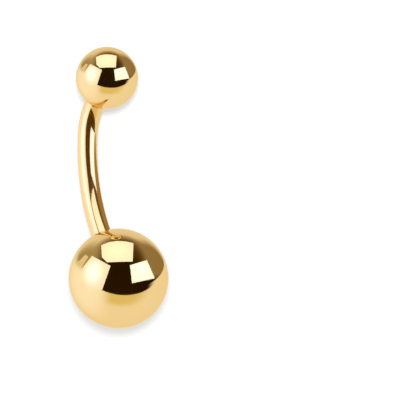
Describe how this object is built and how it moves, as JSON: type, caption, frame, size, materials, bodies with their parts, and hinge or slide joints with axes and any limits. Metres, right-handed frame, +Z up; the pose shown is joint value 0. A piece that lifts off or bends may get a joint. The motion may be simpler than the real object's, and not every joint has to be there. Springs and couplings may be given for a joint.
{
  "type": "navel ring",
  "caption": "Plain curved barbell for a navel piercing: a bent round bar with a small screw-on ball at one end and a larger one at the other.",
  "frame": {"origin": "bottom centre of the box round the whole barbell, on the surface that it lies on", "axes": "+X level, along the barbell from the lower ball to the upper ball; +Y level, to the side that the bend leans to; +Z up"},
  "size_m": [0.0228, 0.008, 0.008],
  "materials": {
    "polished_gold": "polished"
  },
  "bodies": {
    "bar": {"bar": "polished_gold"},
    "upper_ball": {"upper_ball": "polished_gold"},
    "lower_ball": {"lower_ball": "polished_gold"}
  },
  "joints": [
    {"name": "upper_ball_off", "type": "slide", "parent": "bar", "child": "upper_ball", "axis": [0.7619, -0.4786, 0.4364], "range_m": [0, 0.0024]},
    {"name": "lower_ball_off", "type": "slide", "parent": "bar", "child": "lower_ball", "axis": [-0.8751, -0.2901, 0.3874], "range_m": [0, 0.0024]}
  ]
}
